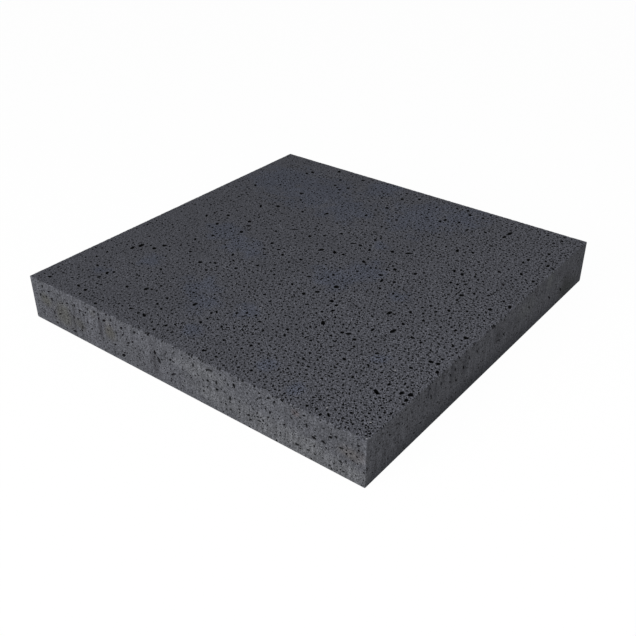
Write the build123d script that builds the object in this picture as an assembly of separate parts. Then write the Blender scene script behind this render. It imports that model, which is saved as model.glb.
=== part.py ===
"""Square concrete paving slab: one cast block with a plain rectangular section and softened edges.

The frame has +Z up and its origin at the middle of the bed face, which is the face that lies on the ground.
X and Y run along the slab's sides.
"""

import os

from build123d import *

# Driving dimensions, in millimetres
SLAB_LENGTH = 600.0  # along X
SLAB_WIDTH = 600.0  # along Y
SLAB_THICKNESS = 70.0  # along Z, from the bed face to the wearing face
UPRIGHT_EDGE_RADIUS = 1.5  # rounding of the four upright corners, as the mould left them
TOP_ARRIS_RADIUS = 1.2  # rounding round the wearing face
BED_ARRIS_RADIUS = 1.0  # rounding round the bed face

PARTS_FOLDER = "parts"
NODE_NAME = "slab"


def cast_block():
    """The block as it fills its mould, standing on the bed face, with square edges."""
    bed_up = (Align.CENTER, Align.CENTER, Align.MIN)
    return Box(SLAB_LENGTH, SLAB_WIDTH, SLAB_THICKNESS, align=bed_up)


def soften_edges(block):
    """The upright corners first, then the rim of each flat face, which runs round those corners."""
    block = fillet(block.edges().filter_by(Axis.Z), UPRIGHT_EDGE_RADIUS)
    wearing_rim = block.faces().sort_by(Axis.Z)[-1].edges()
    block = fillet(wearing_rim, TOP_ARRIS_RADIUS)
    bed_rim = block.faces().sort_by(Axis.Z)[0].edges()
    return fillet(bed_rim, BED_ARRIS_RADIUS)


def main():
    slab = soften_edges(cast_block())
    slab.label = NODE_NAME
    os.makedirs(PARTS_FOLDER, exist_ok=True)
    export_step(slab, os.path.join(PARTS_FOLDER, NODE_NAME + ".step"))
    print(NODE_NAME, "volume", round(slab.volume), "mm3, size", slab.bounding_box().size)


main()
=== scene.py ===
"""Looks of a square concrete paving slab: one cast block, dyed dark grey, with an open-pored wearing face.

The block is one closed mesh. Its six flat faces are plane sheets with the pits cut into them, and rounded
arrises join the sheets. Every pit is a grid of rings and angles, sunk below the sheet that it opens on.
"""

import itertools

import bpy
import numpy as np
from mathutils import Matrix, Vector
from mathutils.geometry import delaunay_2d_cdt


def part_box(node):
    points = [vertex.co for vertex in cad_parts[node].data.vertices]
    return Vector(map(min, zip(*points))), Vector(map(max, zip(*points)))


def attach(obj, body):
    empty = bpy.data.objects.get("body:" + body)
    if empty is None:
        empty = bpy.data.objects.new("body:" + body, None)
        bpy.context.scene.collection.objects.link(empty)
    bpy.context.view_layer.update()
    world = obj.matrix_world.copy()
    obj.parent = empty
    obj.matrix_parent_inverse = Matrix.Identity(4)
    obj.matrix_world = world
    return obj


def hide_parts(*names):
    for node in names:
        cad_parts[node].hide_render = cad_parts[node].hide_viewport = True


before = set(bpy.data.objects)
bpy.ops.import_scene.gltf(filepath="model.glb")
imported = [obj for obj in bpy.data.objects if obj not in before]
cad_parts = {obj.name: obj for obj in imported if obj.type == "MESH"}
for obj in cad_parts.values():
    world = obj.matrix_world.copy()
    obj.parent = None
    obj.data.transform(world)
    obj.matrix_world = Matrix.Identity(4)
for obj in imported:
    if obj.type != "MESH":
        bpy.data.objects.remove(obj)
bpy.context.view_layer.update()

MM = 0.001
SEED = 20

# Camera, found from the slab's corners in the photograph. Its focal length is 0.2% above the one found,
# because the rounded edges draw the outline in
PICTURE_PIXELS = 636
FOCAL_PIXELS = 857.0
SENSOR_WIDTH = 36.0
EYE = np.array([0.6985, -0.9016, 0.6893])
GAZE = np.array([-0.5166, 0.6667, -0.5373])

# The block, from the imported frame, and its sides against the clock: their outward normals and their ways
HALF_X, HALF_Y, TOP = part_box("slab")[1]
HALF_PLAN = np.array([HALF_X, HALF_Y])
PLAN_NORMALS = np.array([[0.0, -1.0], [1.0, 0.0], [0.0, 1.0], [-1.0, 0.0]])
PLAN_WAYS = np.roll(PLAN_NORMALS, -1, axis=0)
FRONT, RIGHT, BACK, LEFT = range(4)
FRONT_CORNER = np.array([1.0, -1.0])

# Edges, with the losses of the upper one: chips, and pits that break it, with painted shade in those pits
CORNER_RADIUS = 1.5 * MM
CORNER_STEPS = 4
ARRIS_RADIUS = 1.2 * MM
ARRIS_WAVER = 0.25 * MM
ARRIS_WAVELENGTH = 25 * MM
ARRIS_STEPS = 3
ARRIS_SPACING = 1.3 * MM
BED_RADIUS = 1.0 * MM
BED_STEPS = 2
BED_SPACING = 6.0 * MM
UPRIGHT_ROWS = 10
CORNER_FADE = 12.0 * MM
CHIPS = dict(count=40, shortest=3.0 * MM, longest=9.0 * MM, deepest=1.6 * MM)
EDGE_PITS = dict(count=380, shortest=2.4 * MM, longest=5.0 * MM, deepest=2.4 * MM)
EDGE_PIT_SHADE = 0.8

# Wear of the upper edge. It grows over the first stretch away from a pit read from the photograph, and from
# its least share over the second, in half sides, towards the front corner. It also hollows the rounding
WEAR_OFF_PITS = (6 * MM, 12 * MM)
WEAR_LEAST = 0.2
WEAR_STRETCH = (-0.3, 1.0)
WEAR_HOLLOWING = 0.35

# Cells of the ground that pits are placed on, the gap round each pit, and the strips along the borders that
# stay free of them
GROUND_CELL = 0.4 * MM
PIT_GAP = 0.45 * MM
WEARING_BORDER_GAP = 1.9 * MM
CAST_BORDER_GAP = 4.2 * MM

# Grain: pits and grit are drawn out along about one diagonal of the wearing face
GRAIN_TURN = np.radians(-52)
GRAIN_STRETCH = 1.4

# Rings of a pit, from its rim inwards: share of the rim's radius, share of the depth, and how dark its
# painted shade is
DEEP_BOWL = np.array([[1.0, 0.0, 0.8], [0.9, 0.42, 1.0], [0.7, 0.8, 1.0], [0.38, 0.97, 1.0]])
BOWL = np.array([[1.0, 0.0, 0.75], [0.72, 0.75, 1.0]])
CUP = np.array([[1.0, 0.0, 0.9]])

# Scattered pits of the wearing face, the widest first: how many, the range of their width, the points of a
# rim, the rings, and the range of a strength that weakens their painted shade
FULL_STRENGTH = (1.0, 1.0)
WEARING_PITS = [
    (130, 4.6 * MM, 7.5 * MM, 9, DEEP_BOWL, FULL_STRENGTH),
    (1820, 3.7 * MM, 4.8 * MM, 7, BOWL, (0.7, 1.0)),
    (8000, 2.1 * MM, 3.8 * MM, 6, CUP, (0.4, 1.0)),
]

# How likely one of them is at a place: a mean and a least, the swing of patches of two sizes, and a slope
# per half side to the right and to the back. Then a mean and a slope for the factor on its width there
LIKELY_MEAN = 0.54
LIKELY_LEAST = 0.05
LIKELY_SWING = 0.2
LIKELY_PATCHES = (90 * MM, 30 * MM)
LIKELY_SLOPE = (0.5, -0.1)
WIDTH_MEAN = 1.03
WIDTH_SLOPE = (-0.075, 0.095)

# Shape of the pits, face by face: the ranges of width over length and of depth over half the width, how they
# lean, and the points of a rim, standout pits being those read from the photograph. On the cast faces also
# the range of their width
WEARING_THINNESS = (0.6, 0.95)
WEARING_STEEPNESS = (1.6, 2.2)
WEARING_LEAN_SPREAD = np.radians(30)
WEARING_STANDOUT_RIM = 12
SIDE_WIDTHS = (1.5 * MM, 4.0 * MM)
SIDE_THINNESS = (0.4, 0.95)
SIDE_STEEPNESS = (0.5, 0.9)
SIDE_LEAN = np.radians(-15)
SIDE_LEAN_SPREAD = np.radians(28)
SIDE_STANDOUT_RIM = 9
SIDE_RIM = 7
BED_PITS = dict(count=100, smallest=2.0 * MM, largest=6.0 * MM)
BED_THINNESS = (0.6, 1.0)
BED_STEEPNESS = (0.4, 0.8)
BED_STRENGTH = (0.6, 0.8)
BED_RIM = 8

# Bake map: how many of its widths a metre takes, and where the middle of the wearing face, of each side's
# foot and of the bed face lies on it
MAP_SCALE = 1.15
MAP_BED_SCALE = 0.45
MAP_TOP = (0.352, 0.352)
MAP_SIDES = [(0.352, 0.715), (0.352, 0.810), (0.352, 0.905), (0.720, 0.352)]
MAP_BED = (0.855, 0.855)

# Pits that stand out in the photograph, read in its pixels: across, down, width, height, and by
# how many degrees the width leans down to the right
STANDOUT_TOP = [
    (376.4, 391.9, 6.0, 3.6, 50), (402.0, 393.0, 4.6, 3.0, -8), (411.7, 395.3, 5.6, 3.4, 5),
    (407.2, 400.8, 4.6, 2.8, -15), (403.3, 404.2, 3.0, 2.0, -20), (328.5, 414.9, 4.2, 2.4, 65),
    (352.6, 377.0, 3.2, 2.2, -20), (389.0, 384.3, 3.6, 2.4, -30), (405.2, 383.7, 3.0, 2.0, -40),
    (307.0, 405.7, 3.0, 2.4, 0), (319.0, 415.5, 3.6, 2.4, -20), (316.7, 409.0, 3.6, 2.0, -10),
    (384.5, 412.6, 2.6, 2.0, 0), (391.0, 413.5, 2.6, 2.0, 0), (380.3, 417.4, 2.8, 2.2, 0),
    (371.5, 434.2, 2.6, 2.2, 0), (438.2, 363.9, 4.0, 2.6, 10), (439.3, 373.0, 3.6, 3.0, 10),
    (321.0, 249.8, 6.0, 2.0, -8), (334.7, 252.2, 3.6, 2.6, 25), (336.4, 286.8, 5.0, 2.7, -5),
    (331.7, 301.0, 4.6, 2.5, 5), (336.3, 305.3, 3.6, 2.2, -10), (303.8, 293.6, 3.6, 2.4, -10),
    (323.0, 323.0, 4.2, 3.8, 30), (348.5, 333.7, 5.6, 2.0, 0), (354.5, 339.4, 4.0, 2.2, 0),
    (389.3, 313.0, 5.6, 2.6, -25), (393.2, 331.0, 7.0, 2.8, -18), (372.7, 329.7, 4.2, 2.2, -25),
    (363.7, 261.7, 3.4, 2.4, 15), (369.6, 249.9, 3.0, 2.2, -20), (394.9, 269.5, 3.8, 2.4, 10),
    (409.0, 253.4, 7.0, 1.6, 0), (381.7, 280.5, 4.2, 2.2, -45), (317.2, 291.8, 5.0, 2.0, -5),
    (352.8, 243.4, 5.2, 1.3, 0), (360.4, 245.4, 4.0, 1.8, 20), (394.5, 282.3, 3.4, 1.8, -10),
    (457.3, 250.7, 3.6, 2.6, -30), (462.1, 274.4, 3.4, 2.6, 10), (454.5, 271.0, 3.0, 2.4, 0),
    (461.7, 295.3, 5.0, 2.0, -8), (490.2, 309.5, 4.6, 2.2, 0), (512.1, 308.0, 3.6, 3.0, -30),
    (465.8, 338.0, 4.8, 2.6, 20), (448.7, 310.5, 3.0, 2.4, 0), (521.4, 274.2, 3.0, 2.4, 0),
    (528.4, 260.0, 3.0, 2.4, -20), (509.8, 233.7, 5.2, 2.4, -20), (504.4, 237.1, 4.0, 1.8, -20),
    (549.1, 254.2, 3.0, 2.2, 0), (548.0, 265.9, 3.4, 2.4, -20), (554.3, 269.4, 3.0, 1.6, 10),
    (533.2, 281.4, 3.0, 2.2, 0), (249.5, 221.5, 3.6, 2.0, 0), (248.7, 225.8, 5.0, 1.5, 0),
    (241.5, 231.8, 3.6, 2.0, 0), (164.7, 245.5, 4.8, 1.8, -5), (190.4, 251.5, 3.0, 1.8, 0),
    (206.2, 270.1, 3.0, 1.8, 0), (215.3, 263.0, 3.0, 1.8, 0), (132.5, 247.7, 4.6, 2.1, -20),
    (141.4, 245.3, 5.8, 2.4, -20), (49.9, 276.5, 3.6, 1.8, 0), (78.5, 285.5, 3.0, 1.8, 0),
    (107.1, 272.9, 3.4, 2.2, -10), (113.8, 272.0, 2.8, 1.8, -20), (127.1, 286.6, 2.8, 2.0, 0),
    (95.4, 303.4, 3.0, 2.0, 0), (144.2, 315.1, 3.6, 3.0, 20), (138.3, 312.9, 3.0, 1.8, -10),
    (195.1, 304.2, 5.4, 2.2, -25), (157.4, 303.8, 2.8, 2.0, 0), (161.3, 308.8, 2.8, 2.0, 0),
    (146.2, 288.9, 4.6, 2.1, -10), (151.8, 289.2, 2.8, 1.4, 0), (204.2, 350.5, 5.2, 1.8, -5),
    (200.8, 322.3, 2.8, 2.2, -20), (216.1, 356.7, 3.2, 1.8, 0), (238.4, 367.2, 3.2, 1.8, 0),
    (301.6, 193.3, 4.2, 1.5, 0), (312.6, 172.3, 3.0, 1.7, 0), (339.2, 171.7, 3.0, 1.7, 0),
    (363.2, 180.3, 4.2, 1.1, 0), (326.4, 213.8, 4.8, 1.5, -12), (445.2, 220.0, 3.4, 1.9, -10),
    (402.3, 199.2, 3.0, 1.8, 0), (467.0, 230.0, 3.2, 1.8, -15), (482.9, 218.1, 3.0, 1.5, 0),
    (294.0, 229.3, 8.0, 0.9, 2), (440.2, 221.3, 2.8, 1.9, 0), (228.3, 215.3, 2.6, 2.0, 0),
    (217.2, 223.8, 3.0, 2.0, -10), (209.2, 225.8, 2.2, 1.5, 0), (206.7, 215.5, 2.4, 1.8, 0),
    (214.7, 212.8, 2.2, 1.4, 0), (260.8, 206.0, 2.2, 2.8, 0), (255.3, 185.2, 2.6, 1.7, 0),
    (306.7, 173.4, 2.6, 1.5, 0), (340.5, 180.0, 2.4, 1.6, 0), (302.5, 211.7, 2.6, 1.6, 0),
    (309.7, 236.2, 3.2, 1.9, 0), (304.2, 236.8, 2.4, 1.6, 0), (324.7, 235.5, 3.2, 1.4, 0),
    (282.5, 254.7, 2.8, 2.2, 0), (195.2, 239.2, 2.2, 2.2, 0), (213.0, 235.5, 3.4, 1.4, 0),
    (343.3, 254.5, 3.0, 1.8, 0), (230.8, 228.3, 2.2, 1.6, 0), (300.8, 200.0, 2.6, 1.4, 0),
    (97.5, 265.3, 2.6, 1.8, 0), (160.8, 269.2, 2.6, 2.0, 0), (161.2, 285.8, 2.4, 1.8, 0),
    (139.2, 275.8, 2.2, 1.6, 0), (167.2, 298.3, 2.4, 2.2, 0), (130.8, 308.3, 2.4, 1.8, 0),
    (96.7, 256.4, 2.4, 1.5, 0), (387.0, 208.0, 3.0, 1.8, 0), (381.7, 198.0, 2.4, 1.6, 0),
    (375.8, 210.0, 2.6, 1.5, 0), (459.2, 222.5, 2.6, 1.8, 0), (468.0, 210.8, 2.6, 1.8, 0),
    (436.7, 207.2, 2.6, 1.5, 0), (375.3, 240.0, 2.6, 2.0, 0), (380.8, 238.3, 2.0, 1.6, 0),
    (392.5, 251.7, 3.2, 2.2, 0), (381.7, 226.7, 2.4, 1.6, 0), (393.0, 266.0, 2.2, 1.7, 0),
    (386.7, 269.7, 2.2, 1.8, 0), (370.8, 267.8, 2.2, 1.6, 0), (375.8, 268.0, 2.2, 1.6, 0),
    (357.5, 271.2, 2.6, 1.8, 0), (380.0, 288.3, 2.6, 2.0, 0), (400.0, 281.3, 2.8, 1.6, 0),
    (393.3, 293.7, 2.6, 2.0, 0), (446.3, 246.7, 2.2, 1.8, 0), (435.5, 246.3, 2.0, 1.6, 0),
    (461.2, 270.2, 2.4, 1.8, 0), (475.0, 276.7, 2.4, 1.8, 0), (478.0, 280.0, 2.4, 1.8, 0),
    (450.8, 282.5, 3.0, 2.0, 0), (465.5, 284.5, 2.6, 1.8, 0), (456.3, 288.7, 2.4, 1.8, 0),
    (488.3, 290.0, 2.4, 2.0, 0), (470.0, 288.5, 2.2, 1.8, 0), (523.3, 262.5, 2.6, 2.0, 0),
    (545.8, 261.3, 2.2, 1.8, 0), (538.7, 284.7, 2.2, 1.8, 0), (457.0, 300.0, 2.4, 2.2, 0),
    (450.5, 318.0, 2.8, 2.0, 0), (503.8, 301.2, 2.6, 2.0, 0), (455.8, 330.3, 2.6, 2.2, 0),
    (451.7, 327.2, 2.2, 2.0, 0), (484.2, 320.8, 2.2, 1.8, 0), (440.8, 327.2, 2.4, 2.0, 0),
    (422.5, 307.5, 2.6, 1.7, 0), (420.8, 342.5, 3.0, 2.0, 0), (210.3, 262.5, 2.2, 1.6, 0),
    (205.8, 265.0, 2.0, 1.4, 0), (233.3, 260.3, 2.2, 1.5, 0), (231.7, 275.5, 2.2, 1.6, 0),
    (288.8, 262.0, 2.4, 1.8, 0), (300.8, 259.5, 3.2, 1.7, 0), (292.2, 284.2, 2.4, 2.4, 0),
    (274.2, 274.5, 2.4, 1.5, 0), (314.0, 287.6, 4.8, 1.2, -28), (309.2, 276.7, 4.2, 1.6, 0),
    (328.3, 277.2, 2.4, 1.8, 0), (321.7, 278.7, 4.0, 1.2, -25), (335.3, 317.2, 2.6, 2.0, 0),
    (316.2, 326.9, 2.0, 1.8, 0), (310.3, 326.7, 2.4, 1.8, 0), (316.3, 313.0, 2.2, 1.8, 0),
    (343.3, 324.5, 2.2, 1.8, 0), (193.7, 292.5, 2.4, 1.6, 0), (216.7, 312.0, 2.2, 2.4, 0),
    (211.3, 313.0, 2.6, 2.0, 0), (207.5, 318.7, 2.2, 1.8, 0), (221.7, 326.7, 2.4, 2.4, 0),
    (234.2, 328.3, 2.0, 2.2, 0), (259.7, 321.7, 4.2, 1.6, 0), (256.7, 329.2, 5.6, 1.2, -25),
    (262.8, 330.8, 3.0, 1.6, -30), (253.0, 326.3, 2.0, 1.8, 0), (235.0, 322.2, 2.2, 1.6, 0),
    (223.8, 340.0, 3.2, 2.0, 0), (261.7, 350.0, 2.4, 1.8, 0), (229.2, 350.0, 2.0, 1.8, 0),
    (235.0, 356.7, 2.2, 1.6, 0), (303.3, 358.7, 2.6, 2.2, 0), (305.5, 337.5, 3.0, 1.6, -30),
]
STANDOUT_FRONT = [
    (314.0, 437.9, 5.5, 2.2, 40), (323.5, 442.2, 5.5, 2.2, 40), (330.5, 437.3, 4.0, 2.2, 35),
    (336.1, 437.3, 3.5, 1.8, 45), (297.1, 444.5, 4.0, 2.2, 25), (308.4, 450.1, 4.0, 1.6, 30),
    (341.0, 448.1, 5.0, 2.0, 20), (358.6, 446.0, 3.5, 1.8, 10), (340.7, 461.8, 5.0, 1.8, 40),
    (329.6, 465.7, 3.0, 1.8, 30), (333.9, 463.6, 2.5, 1.6, -20), (306.6, 425.6, 4.5, 2.0, 85),
    (304.0, 415.4, 3.0, 1.8, 20), (323.2, 428.4, 3.0, 1.6, 10), (209.8, 370.4, 6.0, 2.0, 24),
    (193.0, 365.3, 4.0, 1.8, 85), (173.6, 374.3, 5.0, 2.0, -10), (215.4, 375.5, 3.0, 1.5, 10),
    (207.8, 380.6, 3.5, 1.6, 35), (216.4, 382.7, 4.5, 1.8, 75), (217.1, 389.6, 3.0, 2.2, 10),
    (227.9, 384.7, 3.5, 1.8, 80), (233.8, 385.7, 5.0, 2.0, 70), (230.2, 398.5, 4.5, 2.0, 80),
    (268.3, 397.8, 3.0, 2.2, 10), (260.3, 398.0, 4.0, 1.5, 0), (274.1, 402.3, 2.6, 2.6, 0),
    (248.4, 415.0, 3.5, 2.0, 15), (270.0, 412.5, 2.5, 2.4, 0), (268.3, 417.2, 2.5, 1.8, 0),
    (250.6, 419.6, 3.0, 1.8, 20), (259.3, 421.0, 4.0, 1.5, 30), (284.3, 424.7, 2.5, 1.8, 0),
    (42.2, 286.2, 2.8, 1.6, 80), (48.7, 291.5, 2.4, 1.5, 10), (51.9, 299.2, 3.4, 1.8, 60),
    (60.6, 314.0, 2.5, 2.0, 0), (93.8, 310.2, 3.0, 2.0, 20), (104.0, 320.6, 3.4, 2.2, 10),
    (110.3, 319.1, 2.8, 1.6, 80), (121.3, 328.2, 3.0, 2.2, 50), (134.1, 332.5, 3.0, 2.6, 30),
    (123.9, 355.3, 3.4, 2.8, 30), (128.5, 342.9, 2.5, 2.0, 0), (159.1, 360.4, 7.5, 2.0, 65),
    (154.8, 352.4, 4.0, 1.8, 75), (170.3, 359.9, 2.4, 2.2, 0), (74.9, 331.0, 3.0, 1.8, 20),
    (87.5, 309.4, 3.0, 1.5, 75), (80.3, 310.9, 2.6, 1.4, 20), (85.4, 312.4, 2.2, 1.5, -30),
    (118.6, 322.6, 2.6, 1.6, 60), (115.5, 325.2, 2.2, 1.5, 20), (98.6, 318.6, 2.4, 1.4, 80),
    (132.4, 342.0, 2.2, 1.8, 20), (115.5, 344.5, 2.2, 1.8, 0), (54.8, 312.5, 3.6, 1.2, 80),
    (67.0, 303.2, 2.4, 1.6, 10), (40.8, 294.8, 2.4, 1.4, 80), (74.0, 317.0, 3.8, 1.2, 85),
    (259.0, 392.2, 2.6, 1.6, 20), (53.8, 303.0, 4.0, 1.1, 80), (63.8, 299.6, 2.2, 1.4, 20),
    (62.3, 303.4, 2.0, 1.4, 0), (46.2, 296.5, 2.0, 1.4, 60), (78.1, 318.8, 2.4, 1.4, 60),
    (83.8, 315.2, 2.2, 1.4, 60), (83.0, 327.0, 2.4, 1.2, 80), (88.0, 322.5, 2.2, 1.3, 70),
    (92.0, 329.0, 2.2, 1.3, 80), (110.0, 325.6, 2.2, 1.4, 30), (122.5, 335.0, 2.0, 1.5, 30),
    (130.0, 328.3, 2.4, 1.6, 20), (97.9, 313.8, 3.6, 1.2, 80), (74.4, 305.6, 3.0, 1.2, 70),
]
STANDOUT_RIGHT = [
    (424.3, 417.2, 4.0, 1.6, -55), (420.4, 422.8, 3.0, 1.6, -45), (469.4, 358.0, 3.5, 1.6, 85),
    (441.3, 383.9, 3.5, 1.6, -75), (456.0, 380.2, 3.0, 1.6, 80), (450.2, 382.0, 2.5, 1.5, -10),
    (389.9, 435.1, 2.5, 1.8, 0), (549.2, 297.6, 3.0, 2.0, 60), (498.7, 340.4, 4.0, 1.6, -20),
    (463.5, 367.6, 4.0, 1.5, 80), (455.4, 369.5, 3.2, 1.5, 85), (450.6, 375.5, 3.6, 1.5, 75),
    (457.8, 375.0, 3.2, 1.5, 80), (431.2, 396.4, 4.4, 1.5, 80), (430.0, 388.2, 3.2, 1.5, -70),
    (477.3, 351.5, 3.2, 1.5, 80), (560.3, 289.5, 3.6, 1.6, 80), (529.2, 307.5, 3.0, 1.6, 60),
    (503.8, 334.5, 3.0, 1.6, 60), (412.0, 412.5, 3.0, 1.5, 80), (399.0, 424.0, 2.6, 1.6, 60),
]

# Pits of each side: those read from the photograph, how many are scattered, and the range of their painted
# shade's strength
SIDE_PITS = {
    FRONT: (STANDOUT_FRONT, 310, (0.6, 0.85)),
    RIGHT: (STANDOUT_RIGHT, 190, (0.4, 0.6)),
    BACK: ([], 190, (0.6, 0.85)),
    LEFT: ([], 190, (0.6, 0.85)),
}

# Colours of the concrete, of the painted shade in its pits, and of the studio
CHARCOAL = "#4A4B51"
BLUISH = "#484C58"
CEMENT_SKIN = "#515257"
PAINTED_PIT_SHADE = "#040405"
QUARTZ = "#929294"
SHEET_GREY = "#BCBCBC"
WHITE = "#FFFFFF"

# What several material nodes share: the settings that blend or multiply two colours, the span in which most
# of a noise pattern lies, and a fall from 1 to 0
BLENDED = dict(give=2, data_type="RGBA")
MULTIPLIED = dict(BLENDED, blend_type="MULTIPLY")
NOISE_SPAN = {"From Min": 0.3, "From Max": 0.7}
FALLING = {"To Min": 1.0, "To Max": 0.0}

# Bluish clouds on the wearing face: their place in the photograph's pixels, across and down,
# and their radius in millimetres
CLOUDS = [
    (285, 180, 75), (318, 193, 75), (345, 208, 60), (385, 190, 42), (422, 218, 70), (462, 219, 48),
    (201, 286, 32), (201, 302, 30), (335, 277, 40), (364, 272, 36), (224, 231, 36), (238, 244, 34),
    (193, 329, 18), (149, 261, 20), (247, 312, 20), (267, 364, 16), (295, 388, 14), (100, 270, 16),
    (253, 253, 22), (380, 247, 16), (400, 297, 16), (380, 359, 12),
]

# Bright grains of quartz in the wearing face, read in the same way
QUARTZ_GRAINS = [
    (395.0, 370.3, 1.2), (260.3, 371.3, 1.0), (327.4, 407.6, 1.2), (370.6, 422.4, 1.1), (366.5, 438.6, 0.8),
    (260.9, 307.5, 0.8),
]

# Marks on the sides, read in the same way: stains, darker and paler patches, and one broad band of painted
# shade along the foot of the right side. For each: side, across and down, then half their width and height
# in millimetres, their colour and their strength. They reach this far in from the side
SIDE_MARK_DEPTH = 12 * MM
STAINS_AND_PAINTED_SHADE = [
    (FRONT, 64.0, 314.0, 26, 30, "#4A4A48", 0.9), (FRONT, 46.0, 300.0, 18, 16, "#474744", 0.8),
    (FRONT, 110.5, 333.0, 16, 18, "#474643", 0.9), (FRONT, 80.0, 324.0, 18, 14, "#4C4C4B", 0.7),
    (FRONT, 75.0, 325.0, 5, 22, "#3A3A3C", 0.7), (FRONT, 73.6, 308.0, 3, 18, "#3A3A3D", 0.6),
    (FRONT, 101.0, 330.0, 6, 30, "#38383C", 0.9), (FRONT, 98.2, 315.0, 4, 14, "#3A3A3E", 0.7),
    (FRONT, 92.5, 313.5, 9, 8, "#5F5F61", 0.6), (FRONT, 106.5, 322.0, 9, 7, "#5F5F61", 0.5),
    (FRONT, 54.5, 313.0, 4, 18, "#3E3E40", 0.6), (FRONT, 130.0, 350.0, 50, 26, "#4A4B4F", 0.6),
    (FRONT, 155.0, 362.0, 11, 34, "#3F3F43", 0.8), (FRONT, 200.0, 372.0, 60, 20, "#5E5F62", 0.6),
    (FRONT, 222.0, 400.0, 80, 24, "#5B5C5F", 0.6), (FRONT, 272.0, 430.0, 60, 26, "#606164", 0.6),
    (FRONT, 305.0, 446.0, 38, 24, "#646568", 0.7), (FRONT, 325.0, 466.0, 130, 30, "#5F6063", 0.6),
    (FRONT, 352.0, 472.0, 36, 16, "#616265", 0.6), (FRONT, 343.0, 439.0, 55, 10, "#48494D", 0.6),
    (FRONT, 351.0, 454.0, 24, 14, "#55514F", 0.5), (FRONT, 361.0, 455.0, 8, 8, "#403F41", 0.6),
    (FRONT, 295.0, 413.0, 9, 7, "#50494A", 0.6), (RIGHT, 568.0, 287.0, 40, 20, "#393C3B", 0.7),
    # The first mark on the next line is painted shade: a broad dark band along the foot of the right side
    (RIGHT, 480.0, 377.0, 420, 26, "#34363B", 0.7), (RIGHT, 429.0, 389.0, 5, 26, "#34353A", 0.8),
    (RIGHT, 435.5, 391.0, 4, 24, "#34353A", 0.7), (RIGHT, 452.5, 372.0, 6, 24, "#323338", 0.6),
    (RIGHT, 465.0, 363.0, 7, 28, "#323338", 0.6), (RIGHT, 498.0, 336.0, 16, 12, "#36373B", 0.7),
    (RIGHT, 527.0, 309.0, 34, 18, "#5B5D5F", 0.5), (RIGHT, 550.5, 280.0, 16, 18, "#5B5D5F", 0.7),
    (RIGHT, 564.5, 285.0, 24, 26, "#2F302F", 0.5),
]


def slow_waves(rng, points, wavelength, count=12):
    """A smooth random field, mostly between -1 and 1: plane waves of about one wavelength, in random
    directions and phases, added up and divided by the root of their number."""
    direction = rng.normal(size=(count, points.shape[-1]))
    direction /= np.linalg.norm(direction, axis=1, keepdims=True)
    stretch = rng.uniform(0.7, 1.6, count)
    phase = rng.uniform(0, 2 * np.pi, count)
    turns = points @ direction.T / wavelength * stretch * 2 * np.pi + phase
    return np.cos(turns).sum(-1) / np.sqrt(count)


def smooth_step(low, high, value):
    """0 below low, 1 above high, and an S-curve between them."""
    share = np.clip((value - low) / (high - low), 0, 1)
    return share * share * (3 - 2 * share)


def through_pixels(pixels, plane_point, plane_normal):
    """Where the camera's rays through these pixels meet a plane."""
    right = np.cross(GAZE, [0.0, 0.0, 1.0])
    right /= np.linalg.norm(right)
    down = np.cross(GAZE, right)
    offset = pixels - PICTURE_PIXELS / 2
    ray = GAZE * FOCAL_PIXELS + offset[..., :1] * right + offset[..., 1:] * down
    reach = ((plane_point - EYE) @ plane_normal) / (ray @ plane_normal)
    return EYE + ray * reach[..., None]


def cell_triangles(values):
    """The corners of the two triangles in each cell of a batch of grids, from values laid out as grids,
    rows, columns. The corners run against the clock where columns run to the right and rows run
    upwards."""
    low_left, low_right = values[:, :-1, :-1], values[:, :-1, 1:]
    high_left, high_right = values[:, 1:, :-1], values[:, 1:, 1:]
    first = np.stack([low_left, low_right, high_right], 3)
    second = np.stack([low_left, high_right, high_left], 3)
    return np.stack([first, second], 3).reshape(-1, 3, *values.shape[3:])


class Sheet:
    """A flat face of the block: its middle, two directions, outward normal and place on the bake map."""

    def __init__(self, middle, across, up, map_middle, map_scale=MAP_SCALE, map_turned=False):
        self.middle = np.array(middle, float)
        self.across = np.array(across, float)
        self.up = np.array(up, float)
        self.normal = np.cross(self.across, self.up)
        self.map_middle = np.array(map_middle)
        self.map_scale = map_scale
        self.map_turned = map_turned

    def place(self, flat, depth):
        """Points of the sheet, sunk below it by their depth."""
        sunk = depth[..., None] * self.normal
        return self.middle + flat[..., :1] * self.across + flat[..., 1:] * self.up - sunk

    def flatten(self, points):
        """The sheet's own two measures of points in space."""
        offset = points - self.middle
        return np.stack([offset @ self.across, offset @ self.up], -1)

    def on_map(self, flat):
        """The bake map's two measures of points of the sheet."""
        turned = flat[..., ::-1] if self.map_turned else flat
        return self.map_middle + turned * self.map_scale


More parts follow.
